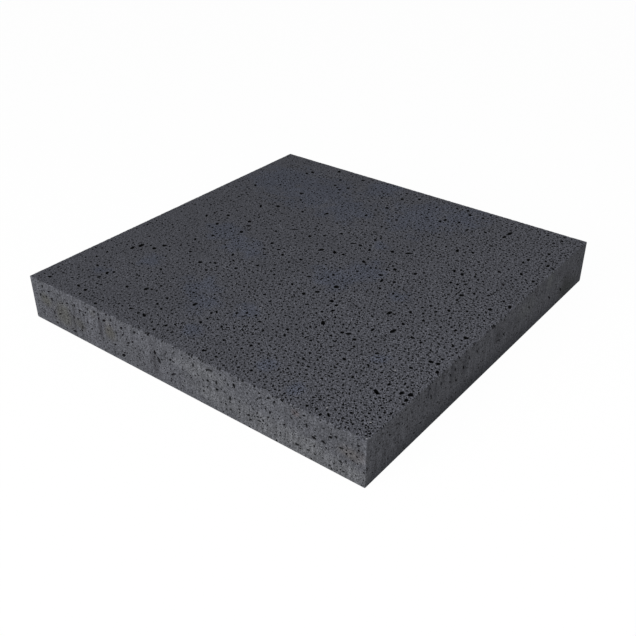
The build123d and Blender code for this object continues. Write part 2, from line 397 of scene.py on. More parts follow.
class BlockMesh:
    """Points and triangles gathered as whole arrays. A triangle knows whether it is flat land, and each
    of its corners knows how dark its painted pit shade is and its place on the map."""

    def __init__(self):
        self.points, self.triangles, self.lands, self.hollows, self.places = [], [], [], [], []
        self.point_count = 0

    def add_points(self, points):
        """Takes in points, and gives back their numbers in the same layout."""
        shape = points.shape[:-1]
        self.points.append(points.reshape(-1, 3))
        index = self.point_count + np.arange(np.prod(shape)).reshape(shape)
        self.point_count += index.size
        return index

    def add_triangles(self, triangles, hollow, places, land=False):
        """Takes in triangles as point numbers, with the level of painted pit shade and the place of each
        corner.
        """
        self.triangles.append(triangles)
        self.lands.append(np.full(len(triangles), land))
        self.hollows.append(np.broadcast_to(hollow, triangles.shape))
        self.places.append(places)

    def add_grids(self, index, hollow, places):
        """Takes in the cells of a batch of grids of point numbers, two triangles each."""
        hollow = np.broadcast_to(hollow, index.shape)
        self.add_triangles(cell_triangles(index), cell_triangles(hollow), cell_triangles(places))

    def add_ring(self, *fields):
        """A strip round the block that closes on itself, from numbers, levels of painted pit shade and
        places laid out as columns round the plan, the highest row first."""
        closed = np.append(np.arange(len(fields[0])), 0)
        self.add_grids(*(np.swapaxes(values[closed], 0, 1)[None, ::-1] for values in fields))

    def build(self, name):
        """One object from all the arrays. Its shading breaks at each edge that has land on one of its two
        sides."""
        points = np.concatenate(self.points)
        triangles = np.concatenate(self.triangles)
        mesh = bpy.data.meshes.new(name)
        mesh.vertices.add(len(points))
        mesh.vertices.foreach_set("co", points.astype(np.float32).ravel())
        mesh.loops.add(triangles.size)
        mesh.loops.foreach_set("vertex_index", triangles.astype(np.int32).ravel())
        mesh.polygons.add(len(triangles))
        mesh.polygons.foreach_set("loop_start", np.arange(0, triangles.size, 3, dtype=np.int32))
        mesh.update(calc_edges=True)

        edges = np.empty(triangles.size, np.int32)
        mesh.loops.foreach_get("edge_index", edges)
        lands_beside = np.bincount(edges, np.repeat(np.concatenate(self.lands), 3))
        mesh.attributes.new("sharp_edge", "BOOLEAN", "EDGE").data.foreach_set("value", lands_beside == 1)

        # Painted shade of the pits, kept on each corner: how far the colour turns near-black there
        hollow = np.concatenate(self.hollows).astype(np.float32)
        mesh.attributes.new("hollow", "FLOAT", "CORNER").data.foreach_set("value", hollow.ravel())
        places = np.concatenate(self.places).astype(np.float32)
        mesh.uv_layers.new(name="OFBake").uv.foreach_set("vector", places.ravel())
        mesh.validate()

        piece = bpy.data.objects.new(name, mesh)
        bpy.context.scene.collection.objects.link(piece)
        return piece


def pit_widths(rng, count, smallest, largest):
    """Widths that thin out towards the largest by a power law, as air bubbles in concrete do."""
    power = -2.6
    share = rng.random(count)
    return (smallest**power + share * (largest**power - smallest**power)) ** (1 / power)


def pit_rims(rng, middle, half_long, half_wide, turn, sides):
    """A row of rim points for each pit: an ellipse about its middle, turned, its radius swelling and
    shrinking in two, three and five slow waves on the way round."""
    number = len(middle)
    angle = 2 * np.pi * np.arange(sides) / sides + rng.uniform(0, 2 * np.pi, (number, 1))
    swell = np.ones_like(angle)
    for waves, most in ((2, 0.10), (3, 0.13), (5, 0.07)):
        if 2 * waves < sides:
            phase = rng.uniform(0, 2 * np.pi, (number, 1))
            swell += rng.uniform(0, most, (number, 1)) * np.cos(waves * angle + phase)
    long_way = half_long[:, None] * swell * np.cos(angle)
    wide_way = half_wide[:, None] * swell * np.sin(angle)
    cosine, sine = np.cos(turn)[:, None], np.sin(turn)[:, None]
    turned = np.stack([long_way * cosine - wide_way * sine, long_way * sine + wide_way * cosine], -1)
    return middle[:, None] + turned


def standout_rims(rng, sheet, readings, sides, low, high, border):
    """Rims of the pits read from the photograph: their ovals there, a little swollen because a render
    softens them, carried along the camera's rays to the sheet, and moved in where they cross its border.
    The points are turned round, because the picture's second measure runs down."""
    across, down, width, height, lean = np.array(readings).T
    middle = np.stack([across, down], 1)
    swell = 1.12
    ovals = pit_rims(rng, middle, width / 2 * swell, height / 2 * swell, np.radians(lean), sides)
    rims = sheet.flatten(through_pixels(ovals, sheet.middle, sheet.normal))[:, ::-1]
    middle = (rims.max(1) + rims.min(1)) / 2
    reach = np.ptp(rims, axis=1) / 2 + PIT_GAP + border + 2 * GROUND_CELL
    return rims + (np.clip(middle, low + reach, high - reach) - middle)[:, None]


def even(spots):
    """1 at every spot."""
    return np.ones(len(spots))


class Ground:
    """Which cells of a sheet are taken by pits, or lie too near its border for one."""

    def __init__(self, low, high, border):
        self.low, self.high = low, high
        self.taken = np.ones(np.ceil((self.high - self.low) / GROUND_CELL).astype(int), bool)
        margin = int(np.ceil(border / GROUND_CELL))
        self.taken[margin:-margin, margin:-margin] = False

    def block(self, spots):
        """Takes the cells that these spots lie in."""
        cells = np.floor((spots.reshape(-1, 2) - self.low) / GROUND_CELL).astype(int)
        cells = np.clip(cells, 0, np.array(self.taken.shape) - 1)
        self.taken[cells[:, 0], cells[:, 1]] = True

    def take(self, spot, reach):
        """Takes the square round a spot, if all of it is free, and says whether it was."""
        first = np.maximum(np.floor((spot - reach - self.low) / GROUND_CELL).astype(int), 0)
        last = np.ceil((spot + reach - self.low) / GROUND_CELL).astype(int)
        patch = self.taken[first[0]:last[0], first[1]:last[1]]
        free = patch.size > 0 and not patch.any()
        if free:
            patch[:] = True
        return free

    def keep_free(self, rims):
        """The rims that find their ground free, taken in turn."""
        middle = (rims.max(1) + rims.min(1)) / 2
        reach = np.ptp(rims, axis=1) / 2 + PIT_GAP
        kept = [self.take(spot, size) for spot, size in zip(middle, reach)]
        return rims[kept]

    def scatter(self, rng, widths, likely=even, scale=even, darts=16):
        """Middles and half widths of pits of these widths. Darts are thrown for the widest pit first, and
        it takes the first one that lands on free ground with a draw below the likelihood of its place, at
        that place's scale."""
        most_swollen = 1.15
        placed = []
        for width in np.sort(widths)[::-1]:
            thrown = rng.uniform(self.low, self.high, (darts, 2))
            lucky = thrown[rng.random(darts) < likely(thrown)]
            halves = width / 2 * scale(lucky)
            fits = (row for row in zip(lucky, halves) if self.take(row[0], most_swollen * row[1] + PIT_GAP))
            placed.extend(itertools.islice(fits, 1))
        spots, halves = zip(*placed)
        return np.array(spots), np.array(halves)


def cut_pits(mesh, sheet, rng, rims, rings, steepness, strength):
    """The bowls of a sheet's pits: each rim drawn in towards its middle ring by ring, sunk along the
    rings' share of the depth, and closed by one point at the bottom. The pit's painted shade, near-black
    inside it, is weakened by a strength from this range. Gives back the rims' numbers and places."""
    number, sides = rims.shape[:2]
    middle = rims.mean(1)
    across = np.ptp(rims, axis=1)
    depth = across.min(1) / 2 * rng.uniform(*steepness, number)
    off_middle = 0.07
    bottom_flat = middle + rng.normal(0, off_middle, middle.shape) * across
    inward, sink, hollow = rings.T
    share = inward[None, :, None, None]
    flat = rims[:, None] * share + bottom_flat[:, None, None] * (1 - share)
    depths = np.broadcast_to(depth[:, None, None] * sink[None, :, None], flat.shape[:3])
    index = mesh.add_points(sheet.place(flat, depths))
    bottom = mesh.add_points(sheet.place(bottom_flat, depth))

    closed = np.append(np.arange(sides), 0)
    # Painted shade of each ring, weakened pit by pit
    weakened = hollow * rng.uniform(*strength, (number, 1))
    levels = np.broadcast_to(weakened[:, :, None], index.shape)
    mesh.add_grids(index[:, :, closed], levels[:, :, closed], sheet.on_map(flat[:, :, closed]))
    after = closed[1:]
    last, last_flat = index[:, -1], flat[:, -1]
    fan = np.stack([last, last[:, after], np.broadcast_to(bottom[:, None], last.shape)], -1)
    middles = np.broadcast_to(bottom_flat[:, None], last_flat.shape)
    fan_flat = np.stack([last_flat, last_flat[:, after], middles], -2)
    fan_levels = np.repeat(weakened[:, -1:], sides, axis=0)
    mesh.add_triangles(fan.reshape(-1, 3), fan_levels, sheet.on_map(fan_flat.reshape(-1, 3, 2)))
    return index[:, 0], flat[:, 0]


def cover_land(mesh, sheet, border_index, border_points, pits):
    """The flat ground between a sheet's border and the rims of its pits: a triangulation that keeps all
    of those outlines, which run against the clock. A triangle with its three corners on one outline lies
    inside it if they come in the outline's own order, so those inside a rim and those outside the border
    are left out."""
    loops = [(border_index[None], sheet.flatten(border_points)[None])] + pits
    index = np.concatenate([numbers.ravel() for numbers, _ in loops])
    flat = np.concatenate([places.reshape(-1, 2) for _, places in loops])
    edges, outlines, orders, start = [], [], [], 0
    for numbers, _ in loops:
        local = start + np.arange(numbers.size).reshape(numbers.shape)
        edges.append(np.stack([local, np.roll(local, -1, 1)], -1).reshape(-1, 2))
        outlines.append(np.broadcast_to(local[:, :1], local.shape).ravel())
        orders.append(np.broadcast_to(np.arange(local.shape[1]), local.shape).ravel())
        start += numbers.size
    corners = [Vector(point) for point in flat / MM]
    whole_hull = 0
    snap = 1e-7
    made = delaunay_2d_cdt(corners, np.concatenate(edges).tolist(), [], whole_hull, snap, False)
    if len(made[0]) != len(flat):
        raise ValueError("two outlines of a sheet meet")

    local = np.array(made[2])
    one, two, three = flat[local[:, 0]], flat[local[:, 1]], flat[local[:, 2]]
    clockwise = np.cross(two - one, three - one) < 0
    local[clockwise] = local[clockwise, ::-1]
    corner_outlines = np.concatenate(outlines)[local]
    corner_orders = np.concatenate(orders)[local]
    on_one = (corner_outlines == corner_outlines[:, :1]).all(1)
    on_border = corner_outlines[:, 0] == 0
    inside = (np.roll(corner_orders, -1, 1) < corner_orders).sum(1) == 1
    land = local[~on_one | (inside == on_border)]
    mesh.add_triangles(index[land], 0.0, sheet.on_map(flat[land]), land=True)


def outline(spacing):
    """Columns round the block's plan, against the clock from the front side: evenly spaced along each
    side and on a quarter circle round each corner. Gives their places, outward normals and each side's
    column numbers."""
    places, normals, runs, count = [], [], [], 0
    for normal, along in zip(PLAN_NORMALS, PLAN_WAYS):
        out = abs(normal @ HALF_PLAN)
        half_run = abs(along @ HALF_PLAN) - CORNER_RADIUS
        steps = round(2 * half_run / spacing)
        way = np.linspace(-half_run, half_run, steps + 1)[:, None]
        places.append(normal * out + way * along)
        normals.append(np.broadcast_to(normal, (steps + 1, 2)))
        runs.append(np.arange(count, count + steps + 1))
        angle = (np.pi / 2 * np.arange(1, CORNER_STEPS) / CORNER_STEPS)[:, None]
        fan = np.cos(angle) * normal + np.sin(angle) * along
        places.append(normal * (out - CORNER_RADIUS) + along * half_run + CORNER_RADIUS * fan)
        normals.append(fan)
        count += steps + CORNER_STEPS
    return np.concatenate(places), np.concatenate(normals), runs


def bites(rng, way, length, count, shortest, longest, deepest):
    """How far small losses eat into an edge along its way: a raised cosine each, and the deepest where
    they meet."""
    spot = rng.uniform(0, length, count)
    half = rng.uniform(shortest, longest, count) / 2
    shallowest = 0.3
    depth = deepest * rng.uniform(shallowest, 1.0, count)
    off = np.abs(way[:, None] - spot) / half
    return (depth * (0.5 + 0.5 * np.cos(np.pi * np.minimum(off, 1)))).max(1)


def wearing_arris(mesh, sheet, rng, standout):
    """The rounded edge of the wearing face: a quarter circle carried round the plan, its radius wavering,
    grown and hollowed where the edge is chipped or a pit breaks it, less far from the front corner and not
    beside the pits read from the photograph. Gives back the grid of numbers and points, the row on the
    wearing face first."""
    places, normals, runs = outline(ARRIS_SPACING)
    steps = np.linalg.norm(np.roll(places, -1, 0) - places, axis=1)
    way = np.cumsum(steps) - steps
    near_corner = (HALF_PLAN - np.abs(places)).max(1)
    fade = smooth_step(2 * CORNER_RADIUS, CORNER_FADE, near_corner)
    near_pit = np.linalg.norm(places[:, None] - standout.mean(1), axis=2).min(1)
    fade = np.minimum(fade, smooth_step(*WEAR_OFF_PITS, near_pit))
    towards_front = smooth_step(*WEAR_STRETCH, places / HALF_PLAN @ FRONT_CORNER)
    fade = fade * (WEAR_LEAST + (1 - WEAR_LEAST) * towards_front)
    chips = bites(rng, way, steps.sum(), **CHIPS) * fade
    pits = bites(rng, way, steps.sum(), **EDGE_PITS) * fade
    loss = np.maximum(chips, pits)
    radius = ARRIS_RADIUS + fade * ARRIS_WAVER * slow_waves(rng, places, ARRIS_WAVELENGTH) + loss
    angle = np.linspace(0, np.pi / 2, ARRIS_STEPS + 1)
    hollowed = WEAR_HOLLOWING * loss[:, None] * np.sin(2 * angle)
    inward = radius[:, None] * (1 - np.sin(angle)) + hollowed
    down = radius[:, None] * (1 - np.cos(angle)) + hollowed
    plan = places[:, None] - normals[:, None] * inward[..., None]
    points = np.concatenate([plan, (TOP - down)[..., None]], -1)
    index = mesh.add_points(points)
    rolled_out = points[:, :1, :2] + normals[:, None] * (radius[:, None] * angle)[..., None]
    # Painted shade in the pits that break the edge, darker the deeper they bite
    shallow, deep = 0.2, 0.7
    level = EDGE_PIT_SHADE * smooth_step(shallow, deep, pits / EDGE_PITS["deepest"])
    mesh.add_ring(index, np.broadcast_to(level[:, None], index.shape), sheet.on_map(rolled_out))
    return index, points, runs


def bed_arris(mesh, sheet):
    """The rounded edge of the bed face: a quarter circle carried round the plan. Gives back the grid of
    numbers and points, the row on the sides first."""
    places, normals, runs = outline(BED_SPACING)
    angle = np.linspace(0, np.pi / 2, BED_STEPS + 1)
    plan = places[:, None] - normals[:, None] * (BED_RADIUS * (1 - np.cos(angle)))[:, None]
    height = np.broadcast_to(BED_RADIUS * (1 - np.sin(angle)), plan.shape[:2])
    points = np.concatenate([plan, height[..., None]], -1)
    index = mesh.add_points(points)
    rolled_out = points[:, -1:, :2] + normals[:, None] * (BED_RADIUS * (np.pi / 2 - angle))[:, None]
    seen_from_below = rolled_out * np.array([1.0, -1.0])
    mesh.add_ring(index, np.zeros(index.shape), sheet.on_map(seen_from_below))
    return index, points, runs


def upright_edges(mesh, sheets, top_index, top_points, top_runs, bed_index, bed_points, bed_runs):
    """The four rounded upright edges: rows of the corner's quarter circle, from the bed's edge up to the
    wearing face's. Gives back, for each corner, its grid of numbers and points, rows upwards."""
    grids = []
    columns = np.arange(CORNER_STEPS + 1)
    share = (np.arange(1, UPRIGHT_ROWS) / UPRIGHT_ROWS)[:, None, None]
    for corner, sheet in enumerate(sheets):
        high = (top_runs[corner][-1] + columns) % len(top_index)
        low = (bed_runs[corner][-1] + columns) % len(bed_index)
        high_points, low_points = top_points[high, -1], bed_points[low, 0]
        between = low_points * (1 - share) + high_points * share
        index = np.concatenate([bed_index[low, :1].T, mesh.add_points(between), top_index[high, -1:].T])
        points = np.concatenate([low_points[None], between, high_points[None]])
        rolled_out = sheet.flatten(np.broadcast_to(points[:, :1], points.shape))
        rolled_out[..., 0] += CORNER_RADIUS * np.pi / 2 * columns / CORNER_STEPS
        mesh.add_grids(index[None], 0.0, sheet.on_map(rolled_out)[None])
        grids.append((index, points))
    return grids


def side_border(side, top_index, top_points, top_runs, bed_index, bed_points, bed_runs, uprights):
    """A side's border, against the clock: along the bed's edge, up one corner, back along the arris and
    down the other corner."""
    up_index, up_points = (values[1:-1, 0] for values in uprights[side])
    down_index, down_points = (values[-2:0:-1, -1] for values in uprights[side - 1])
    low, high = bed_runs[side], top_runs[side][::-1]
    index = np.concatenate([bed_index[low, 0], up_index, top_index[high, -1], down_index])
    points = np.concatenate([bed_points[low, 0], up_points, top_points[high, -1], down_points])
    return index, points


def wearing_pits(mesh, sheet, rng, edge_points, standout):
    """Pits of the wearing face: those read from the photograph, then scattered ones from the widest to
    the smallest, drawn out along the grain, crowding together in patches and towards the right side and
    the front, wider by up to a fifth towards the back corner and narrower by a seventh towards the front
    one, and clear of the broken arris."""
    ground = Ground(-HALF_PLAN, HALF_PLAN, WEARING_BORDER_GAP)
    border, wall = edge_points[:, 0, :2], edge_points[:, -1, :2]
    inward = border - wall
    inward *= 1 + 2 * PIT_GAP / np.linalg.norm(inward, axis=1, keepdims=True)
    onward = np.roll(wall, -1, 0) - wall
    steps = 12
    share = np.linspace(0, 1, steps)[:, None]
    from_wall = wall[:, None, None] + inward[:, None, None] * share[:, None]
    ground.block(from_wall + onward[:, None, None] * share)

    def likely(spots):
        """How likely a pit is at each spot: the mean, the same patches at every call, and the slope."""
        waves = np.random.default_rng(SEED + 1)
        patches = sum(slow_waves(waves, spots, size) for size in LIKELY_PATCHES)
        slope = spots / HALF_PLAN @ LIKELY_SLOPE
        return np.clip(LIKELY_MEAN + LIKELY_SWING * patches + slope, LIKELY_LEAST, 1)

    def scale(spots):
        """The factor on a pit's width at each spot."""
        return WIDTH_MEAN + spots / HALF_PLAN @ WIDTH_SLOPE

    groups = [(ground.keep_free(standout), DEEP_BOWL, WEARING_STEEPNESS, FULL_STRENGTH)]
    for count, smallest, largest, sides, rings, strength in WEARING_PITS:
        spots, halves = ground.scatter(rng, pit_widths(rng, count, smallest, largest), likely, scale)
        thin = rng.uniform(*WEARING_THINNESS, len(halves))
        turn = GRAIN_TURN + rng.normal(0, WEARING_LEAN_SPREAD, len(halves))
        rims = pit_rims(rng, spots, halves, halves * thin, turn, sides)
        groups.append((rims, rings, WEARING_STEEPNESS, strength))
    return [cut_pits(mesh, sheet, rng, *group) for group in groups]


def side_pits(mesh, sheet, rng, side, half_run):
    """Blow holes of a cast side: those read from the photograph, then scattered ones, mostly lying along
    the side."""
    readings, count, strength = SIDE_PITS[side]
    low, high = np.array([-half_run, 0.0]), np.array([half_run, TOP])
    ground = Ground(low, high, CAST_BORDER_GAP)
    groups = []
    if readings:
        rims = standout_rims(rng, sheet, readings, SIDE_STANDOUT_RIM, low, high, CAST_BORDER_GAP)
        rims = ground.keep_free(rims)
        groups.append(cut_pits(mesh, sheet, rng, rims, BOWL, SIDE_STEEPNESS, strength))
    spots, halves = ground.scatter(rng, pit_widths(rng, count, *SIDE_WIDTHS))
    thin = rng.uniform(*SIDE_THINNESS, len(halves))
    turn = rng.normal(SIDE_LEAN, SIDE_LEAN_SPREAD, len(halves))
    rims = pit_rims(rng, spots, halves, halves * thin, turn, SIDE_RIM)
    groups.append(cut_pits(mesh, sheet, rng, rims, BOWL, SIDE_STEEPNESS, strength))
    return groups


def bed_pits(mesh, sheet, rng):
    """Blow holes of the bed face, scattered evenly."""
    ground = Ground(-HALF_PLAN, HALF_PLAN, CAST_BORDER_GAP)
    spots, halves = ground.scatter(rng, pit_widths(rng, **BED_PITS))
    thin = rng.uniform(*BED_THINNESS, len(halves))
    turn = rng.uniform(0, np.pi, len(halves))
    rims = pit_rims(rng, spots, halves, halves * thin, turn, BED_RIM)
    return [cut_pits(mesh, sheet, rng, rims, BOWL, BED_STEEPNESS, BED_STRENGTH)]


def side_sheets():
    """The four cast sides, each with its foot in the middle of its measures."""
    sheets = []
    for side, map_middle in enumerate(MAP_SIDES):
        normal = PLAN_NORMALS[side]
        middle = (*(normal * abs(normal @ HALF_PLAN)), 0)
        sheets.append(Sheet(middle, (*PLAN_WAYS[side], 0), (0, 0, 1), map_middle, map_turned=side == LEFT))
    return sheets


def cast_slab():
    """The whole block: arrises and upright edges first, then each flat sheet with its pits."""
    rng = np.random.default_rng(SEED)
    mesh = BlockMesh()
    top = Sheet((0, 0, TOP), (1, 0, 0), (0, 1, 0), MAP_TOP)
    bed = Sheet((0, 0, 0), (1, 0, 0), (0, -1, 0), MAP_BED, MAP_BED_SCALE)
    sides = side_sheets()
    standout = standout_rims(
        rng, top, STANDOUT_TOP, WEARING_STANDOUT_RIM, -HALF_PLAN, HALF_PLAN, WEARING_BORDER_GAP
    )
    top_edge = wearing_arris(mesh, top, rng, standout)
    bed_edge = bed_arris(mesh, bed)
    uprights = upright_edges(mesh, sides, *top_edge, *bed_edge)
    top_pits = wearing_pits(mesh, top, rng, top_edge[1], standout)
    cover_land(mesh, top, top_edge[0][:, 0], top_edge[1][:, 0], top_pits)
    for side, sheet in enumerate(sides):
        half_run = abs(PLAN_WAYS[side] @ HALF_PLAN)
        pits = side_pits(mesh, sheet, rng, side, half_run)
        cover_land(mesh, sheet, *side_border(side, *top_edge, *bed_edge, uprights), pits)
    cover_land(mesh, bed, bed_edge[0][::-1, -1], bed_edge[1][::-1, -1], bed_pits(mesh, bed, rng))
    return mesh.build("cast_slab")


def linear(hex_colour):
    """An sRGB hex colour as linear red, green, blue and an alpha of 1."""
    values = np.array([int(hex_colour[start:start + 2], 16) for start in (1, 3, 5)]) / 255
    low = values / 12.92
    high = ((values + 0.055) / 1.055) ** 2.4
    return (*np.where(values <= 0.04045, low, high), 1.0)


def add_node(tree, kind, inputs=(), give=0, **settings):
    """A shader node with its settings, and its inputs, by name or in their order, set to a value or linked
    from a socket. Gives back one of its outputs."""
    node = tree.nodes.new("ShaderNode" + kind)
    for name, value in settings.items():
        setattr(node, name, value)
    named = inputs if isinstance(inputs, dict) else dict(enumerate(inputs))
    for name, value in named.items():
        if isinstance(value, bpy.types.NodeSocket):
            tree.links.new(value, node.inputs[name])
        else:
            node.inputs[name].default_value = value
    return node.outputs[give]


def edge_measures(tree, spot):
    """Three lengths at a point: how far below the wearing face it lies, how far in from the nearest side,
    and how far from the nearest upright edge. Then 1 nearer the right and left sides, 0 nearer the front
    and back."""
    axes = add_node(tree, "SeparateXYZ", [spot]).node.outputs
    below = add_node(tree, "Math", [TOP, axes["Z"]], operation="SUBTRACT")
    gaps = []
    for axis, half in (("X", HALF_X), ("Y", HALF_Y)):
        away = add_node(tree, "Math", [axes[axis]], operation="ABSOLUTE")
        gaps.append(add_node(tree, "Math", [half, away], operation="SUBTRACT"))
    inset = add_node(tree, "Math", gaps, operation="MINIMUM")
    upright = add_node(tree, "Math", gaps, operation="MAXIMUM")
    flank = add_node(tree, "Math", gaps, operation="LESS_THAN")
    return below, inset, upright, flank


def cast_share(tree, spot, below, inset):
    """1 on the cast sides and bed, 0 on the wearing face. The border follows the arris raggedly, by up to
    1 mm on the left and 4 mm on the right."""
    frayed = add_node(tree, "TexNoise", {"Vector": spot, "Scale": 1 / (7 * MM), "Detail": 3.0})
    both_ways = {"From Min": 0.25, "From Max": 0.75, "To Min": -1.0, "To Max": 1.0}
    frayed = add_node(tree, "MapRange", {"Value": frayed, **both_ways})
    right = add_node(tree, "SeparateXYZ", [spot], "X")
    reach = {"From Min": -HALF_X, "From Max": HALF_X, "To Min": 1 * MM, "To Max": 4 * MM}
    most = add_node(tree, "MapRange", {"Value": right, **reach})
    past_edge = add_node(tree, "Math", [below, inset], operation="SUBTRACT")
    ragged = add_node(tree, "Math", [frayed, most, past_edge], operation="MULTIPLY_ADD")
    side = add_node(tree, "MapRange", {"Value": ragged, "From Min": -0.6 * MM, "From Max": 0.6 * MM})
    bed = add_node(tree, "MapRange", {"Value": below, "From Min": TOP - 12 * MM, "From Max": TOP - 4 * MM})
    return add_node(tree, "Math", [side, bed], operation="MAXIMUM")


def nearest(tree, spot, readings):
    """How far a point is from the nearest of these places on the wearing face, in shares of that one's
    radius, and 10 at most."""
    least = 10.0
    up = np.array([0.0, 0.0, 1.0])
    for across, down, radius in readings:
        middle = through_pixels(np.array([across, down]), TOP * up, up)
        away = add_node(tree, "VectorMath", [spot, middle], "Value", operation="DISTANCE")
        away = add_node(tree, "Math", [away, radius * MM], operation="DIVIDE")
        least = add_node(tree, "Math", [least, away], operation="MINIMUM")
    return least


def wearing_colour(tree, spot):
    """Charcoal with soft, torn bluish clouds, where pigment gathered in the paste, and a few bright
    grains."""
    drift = add_node(
        tree, "TexNoise", {"Vector": spot, "Scale": 1 / (22 * MM), "Detail": 3.0, "Roughness": 0.6}
    )
    torn = add_node(tree, "Math", [drift, -2.4, nearest(tree, spot, CLOUDS)], operation="MULTIPLY_ADD")
    soft = {"From Min": -0.9, "From Max": 0.0, "To Min": 0.65, "To Max": 0.0}
    cloud = add_node(tree, "MapRange", {"Value": torn, **soft}, interpolation_type="SMOOTHSTEP")
    clouded = add_node(tree, "Mix", {"Factor": cloud, "A": linear(CHARCOAL), "B": linear(BLUISH)}, **BLENDED)
    grain = add_node(tree, "Math", [nearest(tree, spot, QUARTZ_GRAINS), 1.0], operation="LESS_THAN")
    return add_node(tree, "Mix", {"Factor": grain, "A": clouded, "B": linear(QUARTZ)}, **BLENDED)


def cast_colour(tree, spot, below, upright, flank):
    """Paler cement skin: mottled at about 16 mm, streaked upright where it slid along the mould, with
    painted shade towards the foot and on the right and left, paler along the upright edges, and stained
    where the photograph shows it, with a broad band of painted shade along the foot of the right side."""
    mottle = add_node(
        tree, "TexNoise", {"Vector": spot, "Scale": 1 / (16 * MM), "Detail": 4.0, "Roughness": 0.6}
    )
    mottle = add_node(tree, "MapRange", {"Value": mottle, **NOISE_SPAN, "To Min": 0.84, "To Max": 1.16})
    drawn_out = add_node(tree, "Mapping", {"Vector": spot, "Scale": (1.0, 1.0, 0.08)})
    streak = add_node(tree, "TexNoise", {"Vector": drawn_out, "Scale": 1 / (5 * MM), "Detail": 2.0})
    streak = add_node(tree, "MapRange", {"Value": streak, **NOISE_SPAN, "To Min": 0.8, "To Max": 1.2})
    lower = {"From Min": 0.4 * TOP, "From Max": TOP}
    # Painted shade: the sides darker towards the foot
    painted_foot_shade = add_node(tree, "MapRange", {"Value": below, **lower, "To Min": 1.0, "To Max": 0.92})
    edge = add_node(tree, "MapRange", {"Value": upright, "From Max": 7 * MM, "To Min": 1.16, "To Max": 1.0})
    # Painted shade: the right and left sides darker
    sides = add_node(tree, "MapRange", {"Value": flank, "To Min": 1.0, "To Max": 0.94})
    tone = mottle
    for factor in (streak, painted_foot_shade, edge, sides):
        tone = add_node(tree, "Math", [tone, factor], operation="MULTIPLY")

    colour = linear(CEMENT_SKIN)
    sheets = side_sheets()
    # Stains and patches from the table, and its band of painted shade along the foot of the right side
    for side, across, down, half_wide, half_high, mark_colour, strength in STAINS_AND_PAINTED_SHADE:
        sheet = sheets[side]
        middle = through_pixels(np.array([across, down]), sheet.middle, sheet.normal)
        spread = np.abs(sheet.across) / (half_wide * MM) + np.abs(sheet.normal) / SIDE_MARK_DEPTH
        spread += sheet.up / (half_high * MM)
        offset = add_node(tree, "VectorMath", [spot, spread, -middle * spread], operation="MULTIPLY_ADD")
        away = add_node(tree, "VectorMath", [offset], "Value", operation="LENGTH")
        torn = add_node(tree, "Math", [mottle, -1.0, away], operation="MULTIPLY_ADD")
        soft = {"From Min": -0.8, "From Max": 0.1, "To Min": strength, "To Max": 0.0}
        share = add_node(tree, "MapRange", {"Value": torn, **soft}, interpolation_type="SMOOTHSTEP")
        colour = add_node(tree, "Mix", {"Factor": share, "A": colour, "B": linear(mark_colour)}, **BLENDED)
    return add_node(tree, "Mix", {"Factor": 1.0, "A": colour, "B": tone}, **MULTIPLIED)


def fine_pores(tree, spot, grain, cast, flank):
    """Bubbles in cells of 3.3 mm, drawn out along the grain and cut by the surface into pores up to 3 mm
    wide: 1 inside a pore, where shade is painted, 0 outside, and the same for the rim round it, where a
    highlight is painted. Most real ones are finer, and they are drawn this coarse so that they show. Two
    random numbers of its cell say whether it holds a bubble, and how large. They crowd towards the right
    side and in patches, and how much they crowd is given back too; it also sets the painted light towards
    the right side. On the cast faces they are fewer and torn into flecks."""
    crumble = add_node(tree, "TexNoise", {"Vector": spot, "Scale": 1 / (3 * MM)}, "Color")
    tear = add_node(tree, "MapRange", {"Value": cast, "To Min": 0.5 * MM, "To Max": 3 * MM})
    shift = add_node(tree, "VectorMath", {0: crumble, "Scale": tear}, operation="SCALE")
    torn = add_node(tree, "VectorMath", [grain, shift], operation="ADD")
    cells = add_node(tree, "TexVoronoi", {"Vector": torn, "Scale": 1 / (3.3 * MM)}).node.outputs
    numbers = add_node(tree, "SeparateColor", [cells["Color"]]).node.outputs
    patch = add_node(tree, "TexNoise", {"Vector": spot, "Scale": 1 / (60 * MM), "Detail": 2.0})
    right = add_node(tree, "SeparateXYZ", [spot], "X")
    # The slope to the right here also sets painted light on the wearing face
    crowd_and_light = add_node(tree, "Math", [right, 0.8, patch], operation="MULTIPLY_ADD")
    on_top = add_node(tree, "MapRange", {"Value": crowd_and_light, **NOISE_SPAN, "To Min": 0.1, "To Max": 0.65})
    on_cast = add_node(tree, "MapRange", {"Value": flank, "To Min": 0.2, "To Max": 0.24})
    share = add_node(tree, "Mix", {"Factor": cast, "A": on_top, "B": on_cast})
    held = add_node(tree, "Math", [numbers[0], share], operation="LESS_THAN")
    size = add_node(tree, "MapRange", {"Value": numbers[1], "To Min": 0.24, "To Max": 0.45})
    radius = add_node(tree, "Math", [held, size], operation="MULTIPLY")
    outside = add_node(tree, "Math", [cells["Distance"], radius], operation="SUBTRACT")
    # The pore mask: it sinks the relief, and it is also painted shade, turning the colour near-black
    pore_and_shade = add_node(tree, "MapRange", {"Value": outside, "From Min": -0.05, "From Max": 0.03, **FALLING})
    highlight_ring = add_node(tree, "MapRange", {"Value": outside, "From Min": 0.03, "From Max": 0.2, **FALLING})
    return pore_and_shade, highlight_ring, crowd_and_light


